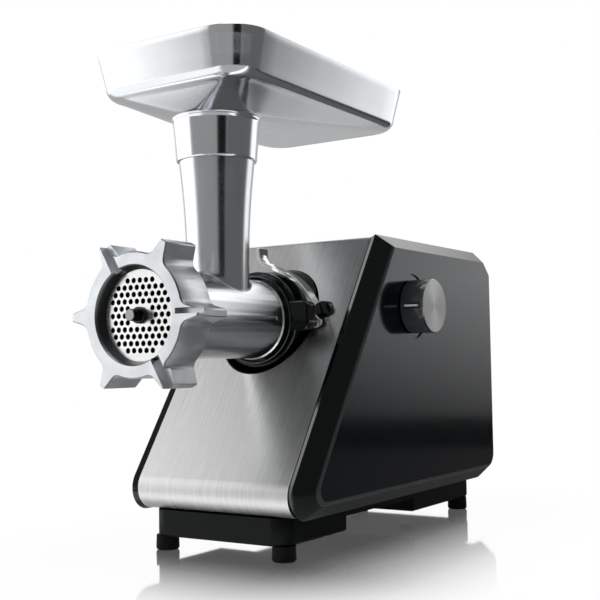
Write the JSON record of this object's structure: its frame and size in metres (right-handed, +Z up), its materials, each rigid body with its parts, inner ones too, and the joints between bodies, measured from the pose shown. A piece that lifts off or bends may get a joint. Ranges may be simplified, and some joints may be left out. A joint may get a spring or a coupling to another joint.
{
  "type": "electric meat grinder",
  "caption": "Countertop electric meat grinder: a tray over a cast head with auger, blade and hole plate, driven by a geared motor in a sloping body with a side knob.",
  "frame": {"origin": "on the table, straight below the centre line of the feed tube, between the front feet", "axes": "+Z up, -Y the front that the meat comes out of, X across the body with the knob on +X"},
  "size_m": [0.1726, 0.4045, 0.346],
  "materials": {
    "pressed_aluminium": "polished, with fine directional haze",
    "cast_aluminium": "smooth cast, satin",
    "nut_aluminium": "bead-blasted cast, matte",
    "plate_steel": "ground and polished",
    "blade_steel": "hardened, dark",
    "brushed_panel": "long brushing up the slope",
    "chromed": "bright chrome plate",
    "black_socket": "gloss",
    "black_plastic": "fine moulded grain",
    "gloss_trim": "gloss",
    "gloss_cover": "gloss, dark slate",
    "black_rubber": "matte",
    "zinc_screws": "zinc plated",
    "knob_aluminium": "turned, with circular brushing",
    "white_mark": "satin",
    "switch_plastic": "moulded",
    "board_green": "solder resist",
    "capacitor_blue": "gloss",
    "gearbox_alloy": "die cast",
    "gear_steel": "machined",
    "gear_nylon": "greased nylon",
    "bearing_bronze": "sintered bronze",
    "lamination_steel": "stacked laminations",
    "copper_windings": "enamelled copper wire",
    "commutator_copper": "turned copper",
    "fan_plastic": "moulded",
    "carbon": "pressed carbon"
  },
  "bodies": {
    "body": {"head_socket": "black_socket", "socket_ring": "chromed", "lever_pivot": "gear_steel", "lever_boss": "black_socket", "front_panel": "brushed_panel", "main_housing": "black_plastic", "right_trim": "gloss_trim", "right_cover": "gloss_cover", "left_trim": "gloss_trim", "left_cover": "gloss_cover", "rear_cover": "black_plastic", "cord_gland": "black_rubber", "base_tray": "black_plastic", "rubber_feet": "black_rubber", "foot_screws": "zinc_screws", "base_screws": "zinc_screws", "rotary_switch": "switch_plastic", "breaker_body": "switch_plastic", "control_board": "board_green", "board_capacitor": "capacitor_blue", "gearbox_front": "gearbox_alloy", "gearbox_case": "gearbox_alloy", "gearbox_screws": "zinc_screws", "output_bearings": "bearing_bronze", "gear_axles": "gear_steel", "motor_stator": "lamination_steel", "field_coils": "copper_windings", "motor_bearings": "bearing_bronze", "rear_bracket": "switch_plastic", "carbon_brushes": "carbon", "brush_holders": "commutator_copper", "motor_bolts": "zinc_screws", "motor_spacers": "zinc_screws"},
    "head": {"grinder_head": "cast_aluminium", "hole_plate": "plate_steel", "plate_bush": "black_socket"},
    "tray": {"hopper_tray": "pressed_aluminium"},
    "nut": {"ring_nut": "nut_aluminium"},
    "auger": {"auger": "cast_aluminium", "cutter_blade": "blade_steel"},
    "drive": {"output_shaft": "gear_steel", "output_gear": "gear_steel"},
    "second": {"second_gear": "gear_nylon"},
    "first": {"first_gear": "gear_nylon"},
    "rotor": {"motor_pinion": "gear_steel", "motor_armature": "lamination_steel", "armature_windings": "copper_windings", "commutator": "commutator_copper", "motor_shaft": "gear_steel", "cooling_fan": "fan_plastic"},
    "lever": {"lock_lever": "chromed"},
    "knob": {"knob": "gloss_trim", "knob_cap": "knob_aluminium", "knob_pointer": "white_mark"},
    "breaker": {"breaker_button": "black_rubber"}
  },
  "joints": [
    {"name": "head_slide", "type": "slide", "parent": "body", "child": "head", "axis": [0, -1, 0], "range_m": [0, 0.08]},
    {"name": "tray_lift", "type": "slide", "parent": "head", "child": "tray", "axis": [0, 0, 1], "range_m": [0, 0.06]},
    {"name": "nut_turn", "type": "hinge", "parent": "head", "child": "nut", "pos_m": [0, -0.0745, 0.163], "axis": [0, -1, 0], "range_deg": [0, 720]},
    {"name": "auger_spin", "type": "hinge", "parent": "head", "child": "auger", "pos_m": [0, 0, 0.163], "axis": [0, 1, 0], "continuous": true},
    {"name": "drive_spin", "type": "hinge", "parent": "body", "child": "drive", "pos_m": [0, 0.115, 0.163], "axis": [0, 1, 0], "continuous": true},
    {"name": "second_spin", "type": "hinge", "parent": "body", "child": "second", "pos_m": [0.012, 0.13, 0.1124], "axis": [0, 1, 0], "continuous": true},
    {"name": "first_spin", "type": "hinge", "parent": "body", "child": "first", "pos_m": [-0.00433, 0.13, 0.0843], "axis": [0, 1, 0], "continuous": true},
    {"name": "rotor_spin", "type": "hinge", "parent": "body", "child": "rotor", "pos_m": [0, 0.13, 0.115], "axis": [0, 1, 0], "continuous": true},
    {"name": "lever_turn", "type": "hinge", "parent": "body", "child": "lever", "pos_m": [0.0438, 0.0557, 0.1605], "axis": [0, 1, 0], "range_deg": [0, 18]},
    {"name": "knob_turn", "type": "hinge", "parent": "body", "child": "knob", "pos_m": [0.0956, 0.1465, 0.173], "axis": [1, 0, 0], "range_deg": [-45, 45]},
    {"name": "breaker_press", "type": "slide", "parent": "body", "child": "breaker", "axis": [0, 0, 1], "range_m": [0, 0.002], "stiffness_N_per_m": 400}
  ],
  "couplings": [
    {"joint": "auger_spin", "follows": "drive_spin", "ratio": 1},
    {"joint": "second_spin", "follows": "drive_spin", "ratio": -3.3333},
    {"joint": "first_spin", "follows": "drive_spin", "ratio": 11.111},
    {"joint": "rotor_spin", "follows": "drive_spin", "ratio": -46.296}
  ]
}
